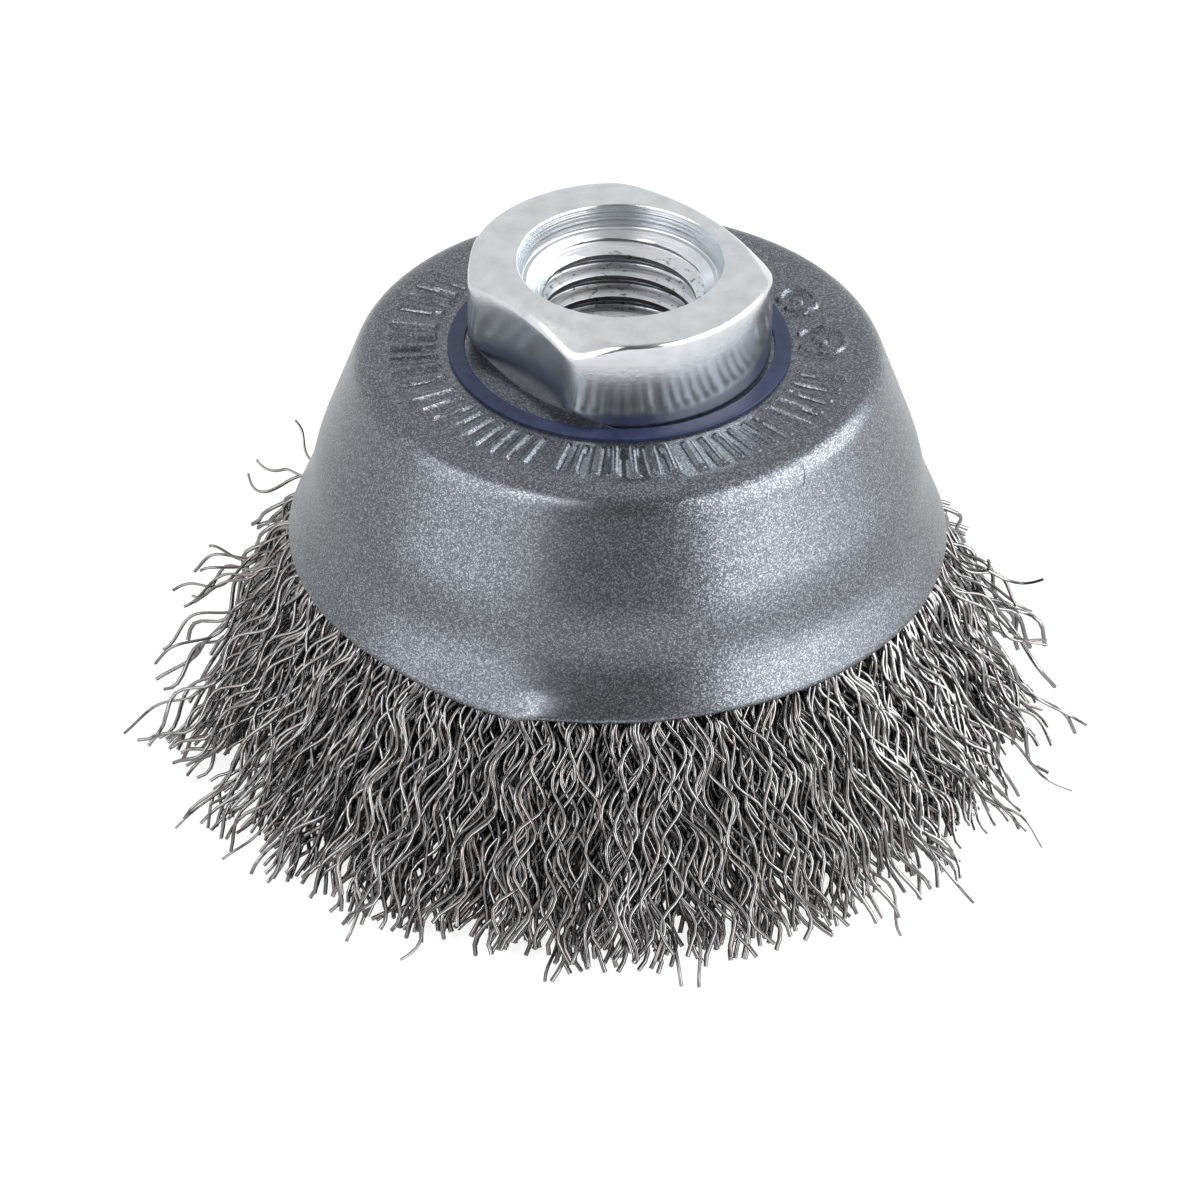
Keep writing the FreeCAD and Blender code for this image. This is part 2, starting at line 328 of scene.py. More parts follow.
def grid_faces(rows, columns, offset=0, closed=False, seam_shift=0):
    """Quads of a grid that wraps round the axis; the seam may step on by some rows."""
    faces = []
    for row in range(rows if closed else rows - 1):
        below = (row + 1) % rows
        for column in range(columns):
            after = (column + 1) % columns
            shift = seam_shift if after == 0 else 0
            here, there = min(row + shift, rows - 1), min(below + shift, rows - 1)
            faces.append((
                offset + row * columns + column, offset + below * columns + column,
                offset + there * columns + after, offset + here * columns + after,
            ))
    return faces


def rounded_section(corners):
    """Closed half section; each corner is (radius, height, bend, longest step after it)."""
    places = [np.array(corner[:2], float) for corner in corners]
    count = len(corners)
    sides = [places[(k + 1) % count] - places[k] for k in range(count)]
    sides = [side / np.linalg.norm(side) for side in sides]
    turns = [math.acos(np.clip(sides[k - 1].dot(sides[k]), -1, 1)) for k in range(count)]
    reaches = [corner[2] * math.tan(turn / 2) for corner, turn in zip(corners, turns)]
    degrees_a_piece = 9
    path = []
    for k, place in enumerate(places):
        if reaches[k]:
            pieces = max(2, int(math.degrees(turns[k]) / degrees_a_piece))
            start, stop = place - sides[k - 1] * reaches[k], place + sides[k] * reaches[k]
            path += [curve(start, place, stop, t) for t in np.linspace(0, 1, pieces + 1)]
        else:
            path.append(place)
        after = (k + 1) % count
        goal = places[after] - sides[k] * reaches[after]
        steps = int(np.linalg.norm(goal - path[-1]) / corners[k][3])
        for steps_left in range(steps, 1, -1):
            path.append(path[-1] + (goal - path[-1]) / steps_left)
    return np.array(path)


# Pressed cup


def crown_marks(x, y):
    """Height of the plain pressed marks on the crown, as a share of their full height."""
    radius, angle = np.hypot(x, y), np.arctan2(y, x)
    marks = np.zeros_like(radius)

    def raise_where(distance):
        np.maximum(marks, np.clip(0.5 - distance / MARKS["soft_edge"], 0, 1), out=marks)

    low, high = MARKS["reach"]
    middle, reach = (low + high) / 2, (high - low) / 2
    for first, last, count in MARK_GROUPS:
        for turn in np.radians(np.linspace(first, last, count)):
            across = np.abs(radius * np.sin(angle - turn)) - MARKS["half_width"]
            along = np.abs(radius * np.cos(angle - turn) - middle) - reach
            raise_where(np.maximum(across, along))
    for distance, turn, size in MARK_RINGS:
        turn = math.radians(turn)
        away = np.hypot(x - distance * math.cos(turn), y - distance * math.sin(turn))
        raise_where(np.abs(away - size) - MARKS["ring_line"])
        raise_where(away - size * MARKS["dot_share"])
    return marks


def build_cup():
    edge, hidden = CUP["rim_edge"], CUP["hidden_step"]
    band, waist = CUP["band_top"], CUP["waist"]
    ceiling = CUP_TOP - CUP["wall"]
    section = rounded_section([
        (CUP["neck_hole"], CUP_TOP, 0, CUP["seat_step"]),
        (MARKS["fine_from"], CUP_TOP, 0, CUP["mark_step"]),
        (CUP["crown_radius"], CUP_TOP, CUP["shoulder_bend"], CUP["shoulder_step"]),
        (waist[0], RIM_LEVEL + waist[1], CUP["waist_bend"], CUP["flank_step"]),
        (band[0], RIM_LEVEL + band[1], CUP["band_bend"], CUP["flank_step"]),
        (RIM_RADIUS, RIM_LEVEL, edge, CUP["rim_step"]),
        (RIM_RADIUS - CUP["rim_breadth"], RIM_LEVEL, edge, hidden),
        (CUP["ceiling_radius"], ceiling, CUP["shoulder_bend"] - CUP["wall"], hidden),
        (CUP["neck_hole"], ceiling, 0, CUP["hole_step"]),
    ])
    rows, columns = len(section), CUP["columns"]
    angle = np.linspace(0, FULL_TURN, columns, endpoint=False)[None, :]
    radius = np.repeat(section[:, :1], columns, axis=1)
    height = np.repeat(section[:, 1:], columns, axis=1)
    near_rim = 1 - smooth_step(RIM_LEVEL, RIM_LEVEL + RIM_BEND["height"], height)
    radius = radius + near_rim * np.interp(np.degrees(angle), RIM_BEND["angle"], RIM_BEND["out"])
    height = height - near_rim * np.interp(np.degrees(angle), RIM_BEND["angle"], RIM_BEND["down"])
    points = polar_points(radius, angle, height)
    # The marks start past the first fine row, and only the sheet's upper side has them.
    marked = (points[..., 2] > CUP_TOP - 0.9 * CUP["wall"]) & (radius > MARKS["fine_from"] + 0.1)
    marks = crown_marks(points[..., 0], points[..., 1])
    points[..., 2] += np.where(marked, marks * MARKS["height"], 0)
    faces = grid_faces(rows, columns, closed=True)
    piece = mesh_piece("cup_skin", points.reshape(-1, 3), faces, crease=50)
    finish_piece(piece, cup_paint(), "cup_paint", "cup_shell")


# Arbor nut


def nut_angles():
    """Column angles, with one column on each upright corner of the flats."""
    angle = np.linspace(0, FULL_TURN, NUT["columns"], endpoint=False)
    corner = math.acos(NUT["across_flats"] / 2 / NUT_RADIUS)
    for flat in (0, math.pi):
        for side in (-1, 1):
            at = (math.radians(NUT["flat_turn"]) + flat + side * corner) % FULL_TURN
            angle[np.argmin(np.abs(angle - at))] = at
    return angle


def bore_radius(angle, height):
    """Wall of the tapped hole, with its lead-in cone above and its chamfer below."""
    turn = (height - STAKED_END) / THREAD["pitch"] - angle / FULL_TURN + THREAD["start"]
    crest, root = THREAD["crest_radius"], THREAD["root_radius"]
    thread = np.interp(turn % 1.0, THREAD["turn"], (crest, crest, root, root, crest, crest))
    lead_in = NUT["lead_in_radius"] - (RECESS_FLOOR - height)
    exit_cone = NUT["exit_radius"] - (height - STAKED_END)
    return np.maximum(np.maximum(thread, lead_in), exit_cone)


def lower_of(a, b, blend):
    """Lower of two values, with the change from one to the other rounded off."""
    share = np.clip(0.5 + 0.5 * (b - a) / blend, 0, 1)
    return b * (1 - share) + a * share - blend * share * (1 - share)


def towards(place, other, reach):
    """Points at the reach from a place, but always less than half way to the other."""
    way = other - place
    length = np.linalg.norm(way, axis=-1, keepdims=True)
    return place + way / length * np.minimum(reach, length * NUT["round_limit"])


def softened_rows(corners, columns):
    """Rows of a swept skin; each corner is (radius, height, length of its rounding)."""
    places = [
        profile_points(np.broadcast_to(radius, columns), height) for radius, height, reach in corners
    ]
    # Rows stand closer near the corners, so that the shading stays flat between them.
    row_shares = (0.08, 0.25, 0.5, 0.75, 0.92)
    rows_a_rounding = 7
    rows = [places[0]]
    for number in range(1, len(corners)):
        place, reach = places[number], corners[number][2]
        out_of, into = rows[-1], towards(place, places[number - 1], reach)
        rows += [out_of + (into - out_of) * share for share in row_shares]
        if reach:
            away = towards(place, places[number + 1], reach)
            rows += [curve(into, place, away, t) for t in np.linspace(0, 1, rows_a_rounding)]
        else:
            rows.append(place)
    return np.stack(rows)


def nut_profile(angle):
    """Rows from the recess's floor over the outside to the staked end."""
    half = NUT["across_flats"] / 2
    toward = np.abs(np.cos(angle - math.radians(NUT["flat_turn"])))
    side = lower_of(NUT_RADIUS, half / np.maximum(toward, 0.1), NUT["corner_blend"])
    shift, blend = NUT["bevel_shift"], NUT["bevel_blend"]
    slope = math.tan(math.radians(NUT["bevel_slope"]))

    def bevel_start(width):
        reach = half - width + shift
        return -shift * toward + np.sqrt(reach ** 2 - shift ** 2 * (1 - toward ** 2))

    def bevel_drop(radius, width):
        off_axis = np.sqrt(radius ** 2 + 2 * radius * toward * shift + shift ** 2)
        return slope * np.maximum(0, off_axis - (half - width + shift))

    chamfer = NUT_RADIUS - NUT["chamfer_width"]
    turned = NUT["chamfer_drop"] / NUT["chamfer_width"] * np.maximum(0, side - chamfer)
    top_start = lower_of(bevel_start(NUT["top_bevel"]), chamfer, blend)
    top_drop = -lower_of(-turned, -bevel_drop(side, NUT["top_bevel"]), blend)
    foot_start = np.minimum(bevel_start(NUT["foot_bevel"]), side - NUT["foot_edge"])
    foot_rise = bevel_drop(side, NUT["foot_bevel"]) + NUT["foot_edge"]
    return softened_rows([
        (NUT["lead_in_radius"], RECESS_FLOOR, 0),
        (NUT["recess_radius"], RECESS_FLOOR, NUT["recess_round"]),
        (NUT["mouth_radius"], NUT_TOP, NUT["mouth_round"]),
        (top_start, NUT_TOP, NUT["top_round"]),
        (side, NUT_TOP - top_drop, NUT["side_round"]),
        (side, CUP_TOP + foot_rise, NUT["foot_round"]),
        (foot_start, CUP_TOP, 0),
        (NUT["neck_radius"], CUP_TOP, 0),
        (NUT["neck_radius"], NUT["lip_top"], 0),
        (NUT["lip_radius"], NUT["lip_top"], NUT["lip_round"]),
        (NUT["lip_radius"] - NUT["lip_taper"], STAKED_END, NUT["lip_round"]),
        (NUT["exit_radius"], STAKED_END, 0),
    ], len(angle))


def build_nut():
    angle = nut_angles()
    profile = nut_profile(angle)
    outer = polar_points(profile[..., 0], angle[None, :], profile[..., 1])

    # The bore's rows climb with the thread, and the ends are cut level.
    pitch = THREAD["pitch"]
    step = pitch / THREAD["steps"]
    turns = np.arange(0, (RECESS_FLOOR - STAKED_END + pitch) + step, step)[:, None]
    climb = STAKED_END - pitch + turns + pitch * angle[None, :] / FULL_TURN
    climb = np.clip(climb, STAKED_END, RECESS_FLOOR)
    bore = polar_points(bore_radius(angle[None, :], climb), angle[None, :], climb)

    faces = grid_faces(len(outer), len(angle))
    faces += grid_faces(len(bore), len(angle), outer[..., 0].size, seam_shift=THREAD["steps"])
    points = np.concatenate([outer.reshape(-1, 3), bore.reshape(-1, 3)])
    piece = mesh_piece("nut_skin", points, faces, crease=40)
    finish_piece(piece, zinc_plate(), "zinc_plate", "arbor_nut")


def build_ring():
    inner, hidden = NUT_RADIUS + RING["gap"], RING["hidden_step"]
    section = rounded_section([
        (inner, RING_TOP, RING["inner_edge"], RING["top_step"]),
        (RING_RADIUS, RING_TOP, RING["outer_edge"], RING["side_step"]),
        (RING_RADIUS, RING_FOOT, 0, hidden),
        (inner, RING_FOOT, 0, hidden),
    ])
    angle = np.linspace(0, FULL_TURN, RING["columns"], endpoint=False)[None, :]
    points = polar_points(section[:, :1], angle, section[:, 1:])
    faces = grid_faces(len(section), RING["columns"], closed=True)
    piece = mesh_piece("ring_skin", points.reshape(-1, 3), faces, crease=50)
    finish_piece(piece, ring_paint(), "ring_colour", "colour_ring")


# Crimped wires


class Draws:
    """Random values for one layer of wires: one for each clump, each strand or each wire."""

    def __init__(self, chance, count):
        self.chance, self.count = chance, count
        self.strand = np.arange(count) // WIRE["strand"]
        self.strands = self.strand[-1] + 1
        self.clump = None
        self.clumps = WIRE["clump_columns"] * WIRE["clump_layers"]

    def by_clump(self, spread):
        return self.chance.normal(0, spread, self.clumps)[self.clump]

    def by_strand(self, spread):
        return self.chance.normal(0, spread, self.strands)[self.strand]

    def by_wire(self, spread):
        return self.chance.normal(0, spread, self.count)

    def clump_between(self, low, high):
        return self.chance.uniform(low, high, self.clumps)[self.clump]

    def strand_between(self, low, high):
        return self.chance.uniform(low, high, self.strands)[self.strand]

    def wire_between(self, low, high):
        return self.chance.uniform(low, high, self.count)


def off_the_floor(path):
    path[..., 2] = np.maximum(path[..., 2], WIRE["lowest"])
    return path


def clump_lean(draws, turn, share):
    """Lean of every wire towards the middle of its clump, which leaves gaps between the tips."""
    columns, layers = WIRE["clump_columns"], WIRE["clump_layers"]
    layer = np.minimum((share * layers).astype(int), layers - 1)
    offset = draws.chance.uniform(0, 1, layers)[layer]
    column = (turn / FULL_TURN * columns + offset).astype(int) % columns
    draws.clump = layer * columns + column
    middle = (column - offset + 0.5) * FULL_TURN / columns
    middle = middle + draws.by_clump(SCATTER["clump_turn"])
    pull = draws.clump_between(*WIRE["clump_pull"])
    apart = (middle - turn + math.pi) % FULL_TURN - math.pi
    own_lean = draws.by_strand(SCATTER["strand_lean"]) + draws.by_wire(SCATTER["wire_lean"])
    return apart * pull + np.radians(own_lean) + np.radians(draws.by_clump(SCATTER["clump_lean"]))


def wire_tips(draws, turn, share, exit_radius):
    """Radius and level of every trimmed tip."""
    outside_tip = np.interp(np.degrees(turn) % 360, *zip(*OPENING))
    tip = WIRE["inside_tip"] + (outside_tip - WIRE["inside_tip"]) * share ** WIRE["tip_power"]
    tip = tip + draws.by_clump(SCATTER["clump_tip"])
    own_reach = draws.by_strand(SCATTER["strand_tip"]) + draws.by_wire(SCATTER["wire_tip"])
    tip = tip + own_reach * (1 + share)
    loose = draws.wire_between(0, 1) < WIRE["loose"] * smooth_step(WIRE["loose_from"], 1.0, share)
    tip = np.where(loose, tip + draws.wire_between(*WIRE["loose_reach"]), tip)
    tip = np.minimum(tip, WIRE["furthest_tip"] - draws.wire_between(*WIRE["tip_margin"]))
    length = WIRE["length"] + draws.by_wire(SCATTER["wire_length"])
    drop = np.sqrt(np.maximum(length ** 2 - (tip - exit_radius) ** 2, WIRE["least_drop_squared"]))
    lowest = WIRE["lowest_tip"] + draws.chance.exponential(SCATTER["wire_level"], draws.count)
    return tip, np.maximum(RIM_LEVEL - drop, lowest)


def wire_profiles(draws, turn, share, points):
    """Radius and height along every wire, from over the hoop to the tip, and how far down it is.

    A wire runs straight from the hoop to the rim, and then in a bend that opens outwards.
    """
    exit_radius = WIRE["inside_exit"] + (WIRE["outside_exit"] - WIRE["inside_exit"]) * share
    tip, tip_level = wire_tips(draws, turn, share, exit_radius)
    along = np.linspace(0, 1, points - 2)[None, :]
    mouth = RIM_LEVEL + WIRE["mouth_rise"]
    wall_slope = WIRE["wall_slope"][0] + WIRE["wall_slope"][1] * share
    open_slope = WIRE["open_slope"][0] + WIRE["open_slope"][1] * share
    start_radius = exit_radius - WIRE["mouth_rise"] * wall_slope
    reach = (mouth - tip_level) * WIRE["bend_reach"]
    start = profile_points(start_radius, mouth)
    middle = profile_points(start_radius + reach * open_slope, mouth - reach)
    end = profile_points(tip, tip_level)
    bend = curve(start[:, None], middle[:, None], end[:, None], along[..., None])
    outer_leg, inner_leg = WIRE["over_hoop"]
    over_hoop = np.where(share > 0.5, HOOP_RADIUS + outer_leg, HOOP_RADIUS + inner_leg)
    above = np.stack([
        profile_points(over_hoop, HOOP_TOP + WIRE["above_hoop"]),
        profile_points((over_hoop + start_radius) / 2, (HOOP_TOP + mouth) / 2),
    ], axis=1)
    profile = np.concatenate([above, bend], axis=1)
    return profile, np.concatenate([np.zeros((1, 2)), along], axis=1)


def crimped(draws, path, angle):
    """The paths with a crimp, which swings in a plane of its own and fades out inside the cup."""
    run = unit(np.gradient(path, axis=1))
    round_about = np.stack([-np.sin(angle), np.cos(angle), np.zeros_like(angle)], axis=-1)
    sideways = square_to(run, round_about)
    outwards = np.cross(run, sideways)
    plane = draws.by_strand(SCATTER["strand_plane"]) + draws.by_wire(SCATTER["wire_plane"])
    pitch = draws.strand_between(*SCATTER["strand_pitch"]) + draws.by_wire(SCATTER["wire_pitch"])
    pitch = WIRE["crimp_pitch"] * pitch
    step = np.linalg.norm(np.diff(path, axis=1), axis=-1)
    travelled = np.concatenate([np.zeros((draws.count, 1)), np.cumsum(step, axis=1)], axis=1)
    # The wires of a strand are nearly in step.
    phase = draws.clump_between(0, FULL_TURN) + draws.by_strand(SCATTER["strand_phase"])
    phase = phase + draws.by_wire(SCATTER["wire_phase"])
    wave = np.sin(FULL_TURN * travelled / pitch[:, None] + phase[:, None])
    swing = WIRE["crimp_swing"] * draws.wire_between(*SCATTER["wire_swing"])[:, None]
    fade_low, fade_high = (RIM_LEVEL + rise for rise in WIRE["crimp_fade"])
    swing = swing * (1 - smooth_step(fade_low, fade_high, path[..., 2]))
    turned = np.cos(plane)[:, None, None] * sideways + np.sin(plane)[:, None, None] * outwards
    return off_the_floor(path + turned * (wave * swing)[..., None])


def wire_paths(chance, count, points, share_low, share_high):
    """Crimped paths from the hoop to the trimmed tips, with each one's start angle and brightness;
    the brightness is painted shade that darkens the inner wires, with a random part for each wire.

    The share is 0 for the wires nearest the hollow and 1 for those against the cup's wall.
    """
    draws = Draws(chance, count)
    turn = (draws.strand + draws.strand_between(0, 1)) * FULL_TURN / draws.strands
    turn = (turn + np.radians(draws.by_wire(SCATTER["wire_turn"]))) % FULL_TURN
    share = draws.strand_between(0, 1) ** WIRE["share_power"] + draws.by_wire(SCATTER["wire_share"])
    share = share_low + (share_high - share_low) * np.clip(share, 0, 1)
    lean = clump_lean(draws, turn, share)
    profile, down = wire_profiles(draws, turn, share, points)
    bow = np.radians(draws.by_wire(SCATTER["wire_bow"]))[:, None] * np.sin(math.pi * down)
    angle = turn[:, None] + lean[:, None] * down ** WIRE["lean_power"] + bow
    path = crimped(draws, polar_points(profile[..., 0], angle, profile[..., 1]), angle)
    # Painted shade: wires deeper in the skirt are darker, up to full brightness against the cup's
    # wall.
    shade = WIRE["outside_shade"] * smooth_step(WIRE["shade_from"], 1.0, share)
    return path, turn, shade + draws.wire_between(0, SCATTER["wire_shade"])


def stray_paths(chance):
    """Paths of the strays, with each one's start angle and brightness."""
    exit_turn, tip_turn, tip_radius, tip_level = np.array(STRAYS, float).T
    exit_turn, tip_turn = np.radians(exit_turn), np.radians(tip_turn)
    count = len(STRAYS)
    t = np.linspace(0, 1, LAYERS[-1][1])[None, :]
    start = polar_points(STRAY["exit_radius"], exit_turn, RIM_LEVEL + STRAY["exit_rise"])
    # Each one leaves below the rim, also where its tip stands higher.
    dip = (RIM_LEVEL + tip_level) / 2 - STRAY["middle_drop"]
    dip = np.minimum(dip, RIM_LEVEL - STRAY["below_rim"])
    middle = polar_points(STRAY["middle_radius"], exit_turn, dip)
    end = polar_points(tip_radius, tip_turn, tip_level)
    path = curve(start[:, None], middle[:, None], end[:, None], t[..., None])
    run = np.gradient(path, axis=1)
    sideways = unit(np.cross(run, (0, 0, 1.0)))
    lifted = unit(np.cross(sideways, run))
    plane = chance.uniform(0, math.pi, (count, 1, 1))
    length = np.linalg.norm(end - start, axis=-1)[:, None]
    phase = chance.uniform(0, STRAY["latest_phase"], (count, 1))
    wave = np.sin(FULL_TURN * length * t / WIRE["crimp_pitch"] + phase)
    wave = wave * WIRE["crimp_swing"] * smooth_step(0, STRAY["crimp_from"], t)
    path = path + (np.cos(plane) * sideways + np.sin(plane) * lifted) * wave[..., None]
    return off_the_floor(path), exit_turn, chance.uniform(*STRAY["shade"], count)


def tube_mesh(paths, sides, radius):
    """Round wires with flat cut ends along the paths: points, faces, and points in each wire."""
    count, points = paths.shape[:2]
    run = unit(np.gradient(paths, axis=1))
    middle = paths.mean(axis=1)
    about = unit(np.stack([-middle[:, 1], middle[:, 0], np.zeros(count)], axis=-1))[:, None]
    first = square_to(run, about)
    second = np.cross(run, first)
    turns = np.arange(sides) * FULL_TURN / sides
    # The corners stand outside the round wire, so that it looks about as wide as it is.
    reach = radius / math.cos(math.pi / sides) * WIRE["roundness"]
    ring = (
        np.cos(turns)[None, None, :, None] * first[:, :, None]
        + np.sin(turns)[None, None, :, None] * second[:, :, None]
    )
    skin = paths[:, :, None] + ring * reach
    # The last ring comes twice, so that the cut end has an edge of its own.
    skin = np.concatenate([skin, skin[:, -1:]], axis=1)
    index = np.arange(count * (points + 1) * sides).reshape(count, points + 1, sides)
    low, high = index[:, :points - 1], index[:, 1:points]
    quads = np.stack([low, np.roll(low, -1, axis=2), np.roll(high, -1, axis=2), high], axis=-1)
    faces = quads.reshape(-1, 4).tolist() + index[:, -1, :].tolist()
    return skin.reshape(-1, 3), faces, (points + 1) * sides


def build_wires(chance):
    """The wires of each sector are one piece, in place of the locks that stand there."""
    batches = [(stray_paths(chance), STRAY["sides"], STRAY["radius"])]
    for count, along, sides, first_share, last_share in LAYERS:
        wires = wire_paths(chance, count, along, first_share, last_share)
        batches.append((wires, sides, WIRE["radius"]))
    sectors = WIRE["sectors"]
    per_sector = len(LOCKS) // sectors
    material = wire_steel()
    for sector in range(sectors):
        points, faces, tints, offset = [], [], [], 0
        for (paths, turn, shade), sides, radius in batches:
            chosen = (turn * sectors / FULL_TURN + 0.5).astype(int) % sectors == sector
            skin, quads, size = tube_mesh(paths[chosen], sides, radius)
            faces += [tuple(corner + offset for corner in quad) for quad in quads]
            points.append(skin)
            tints.append(np.repeat(shade[chosen], size))
            offset += len(skin)
        mesh = bpy.data.meshes.new("wires_%d" % (sector + 1))
        mesh.from_pydata((np.concatenate(points) * MM).tolist(), [], faces)
        # The tint holds each wire's brightness: painted shade deep in the skirt, and a random part.
        tint = mesh.attributes.new("tint", "FLOAT", "POINT")
        tint.data.foreach_set("value", np.concatenate(tints))
        mesh.shade_smooth()
        piece = bpy.data.objects.new(mesh.name, mesh)
        bpy.context.scene.collection.objects.link(piece)
        first = sector * per_sector - per_sector // 2
        nodes = [LOCKS[(first + k) % len(LOCKS)] for k in range(per_sector)]
        finish_piece(piece, material, "wire", *nodes)


# Materials

PAINT = {
    "colour": (0.132, 0.142, 0.157),
    "metallic": 0.9,
    "roughness": 0.31,
    "flake": 0.09,
    "flake_power": 3.0,
    "flake_shade": (0.62, 2.2),
    "flake_tilt": 0.07,
    "cloud": 9.0,
    "cloud_shade": (0.94, 1.06),
    "scratch": (0.03, 0.09),
}
# Pairs in the zinc are for the outside and the bore, or the start and end of a change.
ZINC = {
    "colour": (0.6, 0.625, 0.65),
    "roughness": (0.2, 0.32),
    "bore_edge": 0.1,
    "turning_mark": 0.2,
    "mark_depth": (0.06, 1.0),
    "pit": 0.5,
    "pit_depth": 0.3,
    "bump": 0.03,
    "patch": 1.6,
    "patch_shade": (0.88, 1.06),
    "dirt_below": (0.8, 1.6),
    "dirt": 0.5,
    "dirt_edge": (0.59, 0.64),
    "dirt_shade": 0.4,
    "dirt_stretch": (1, 1, 2.2),
}
RING_PAINT = {
    "colour": (0.016, 0.024, 0.068),
    "roughness": 0.42,
    "specular": 0.32,
    "patch": 0.8,
    "patch_shade": (0.7, 1.3),
}
STEEL = {
    "colour": (0.42, 0.42, 0.43),
    "roughness": 0.42,
    "patch": 2.0,
    "patch_shade": (0.85, 1.1),
}
# The deep shade colour is painted shade for the inner wires, deep in the skirt; the bare colour is
# the outer wires' steel.
WIRE_STEEL = {
    "deep_shade_colour": (0.27, 0.213, 0.182),
    "bare_colour": (0.255, 0.252, 0.258),
    "roughness": (0.4, 0.18),
    "stain": 1.2,
    "stain_edge": (0.35, 0.65),
    "stain_shade": (0.85, 1.1),
}
# Most of a noise's values lie between these.
NOISE_RANGE = (0.3, 0.7)


class Nodes:
    """Short hand for one node tree."""

    def __init__(self, tree):
        self.tree = tree

    def add(self, kind, links=(), **settings):
        node = self.tree.nodes.new("ShaderNode" + kind)
        for key, setting in settings.items():
            setattr(node, key, setting)
        for socket, source in dict(links).items():
            self.feed(node.inputs[socket], source)
        return node

    def feed(self, socket, source):
        if isinstance(source, bpy.types.NodeSocket):
            self.tree.links.new(source, socket)
        else:
            socket.default_value = source

    def math(self, operation, first, second):
        return self.add("Math", {0: first, 1: second}, operation=operation).outputs[0]

    def times(self, first, second):
        return self.math("MULTIPLY", first, second)

    def vector(self, operation, first, second):
        return self.add("VectorMath", {0: first, 1: second}, operation=operation).outputs[0]

    def scaled(self, colour, factor):
        """The colour or vector made larger or smaller by the factor."""
        links = {0: colour, "Scale": factor}
        return self.add("VectorMath", links, operation="SCALE").outputs[0]

    def ramp(self, source, low, high, start, end):
        """Value that runs from start to end as the source goes from low to high."""
        links = {"Value": source, "From Min": low, "From Max": high, "To Min": start, "To Max": end}
        return self.add("MapRange", links).outputs["Result"]

    def place(self):
        return self.add("TexCoord").outputs["Object"]

    def noise(self, size, detail=2.0, stretch=(1, 1, 1)):
        """Noise with features of about this size in millimetres."""
        spread = self.add("Mapping", {"Vector": self.place(), "Scale": stretch})
        links = {"Vector": spread.outputs[0], "Scale": 1 / (size * MM), "Detail": detail}
        return self.add("TexNoise", links).outputs["Fac"]

    def patches(self, size, shades, detail=2.0):
        """Factor that differs from patch to patch, between the two shades."""
        return self.ramp(self.noise(size, detail), *NOISE_RANGE, *shades)

    def eye_rays(self):
        """Whether a ray is the camera's own, and whether it is mirrored or comes through glass."""
        path = self.add("LightPath").outputs
        mirrored = self.math("ADD", path["Is Glossy Ray"], path["Is Transmission Ray"])
        return path["Is Camera Ray"], mirrored


class Material(Nodes):
    """Short hand for the node tree of a new material."""

    def __init__(self, name):
        self.material = bpy.data.materials.new(name)
        self.material.use_nodes = True
        super().__init__(self.material.node_tree)

    def shade(self, **inputs):
        shader = self.tree.nodes["Principled BSDF"]
        for name, source in inputs.items():
            self.feed(shader.inputs[name.replace("_", " ")], source)


def off_line(kit, start, stop):
    """Distance from a line on the cup's flank; the ends are given as angle and height."""
    reach = RIM_RADIUS * MM
    at = kit.add("SeparateXYZ", {"Vector": kit.place()}).outputs
    turn = kit.times(kit.math("ARCTAN2", at["Y"], at["X"]), reach)
    here = kit.add("CombineXYZ", {"X": turn, "Y": at["Z"]}).outputs[0]
    first, last = (Vector((math.radians(a) * reach, z * MM, 0)) for a, z in (start, stop))
    along = last - first
    apart = kit.vector("SUBTRACT", here, first)
    links = {0: apart, 1: along / along.length_squared}
    share = kit.add("VectorMath", links, operation="DOT_PRODUCT").outputs["Value"]
    nearest = kit.scaled(along, kit.ramp(share, 0, 1, 0, 1))
    return kit.add("VectorMath", {0: apart, 1: nearest}, operation="DISTANCE").outputs["Value"]


def cup_paint():
    kit = Material("cup_paint")
    cells = kit.add("TexVoronoi", {"Vector": kit.place(), "Scale": 1 / (PAINT["flake"] * MM)})
    flake = kit.add("SeparateColor", {"Color": cells.outputs["Color"]}).outputs[0]
    flake = kit.ramp(kit.math("POWER", flake, PAINT["flake_power"]), 0, 1, *PAINT["flake_shade"])
    cloud = kit.patches(PAINT["cloud"], PAINT["cloud_shade"])
    line, soft = (width * MM for width in PAINT["scratch"])
    for start, stop, depth in SCRATCHES:
        cloud = kit.times(cloud, kit.ramp(off_line(kit, start, stop), line, soft, depth, 1.0))
    # Each flake lies at a slight angle of its own.
    tilt = kit.vector("SUBTRACT", cells.outputs["Color"], (0.5, 0.5, 0.5))
    tilt = kit.scaled(tilt, PAINT["flake_tilt"])
    tilted = kit.vector("ADD", kit.add("NewGeometry").outputs["Normal"], tilt)
    kit.shade(
        Base_Color=kit.scaled(PAINT["colour"], kit.times(flake, cloud)),
        Metallic=PAINT["metallic"],
        Roughness=PAINT["roughness"],
        Normal=kit.add("VectorMath", {0: tilted}, operation="NORMALIZE").outputs[0],
    )
    return kit.material


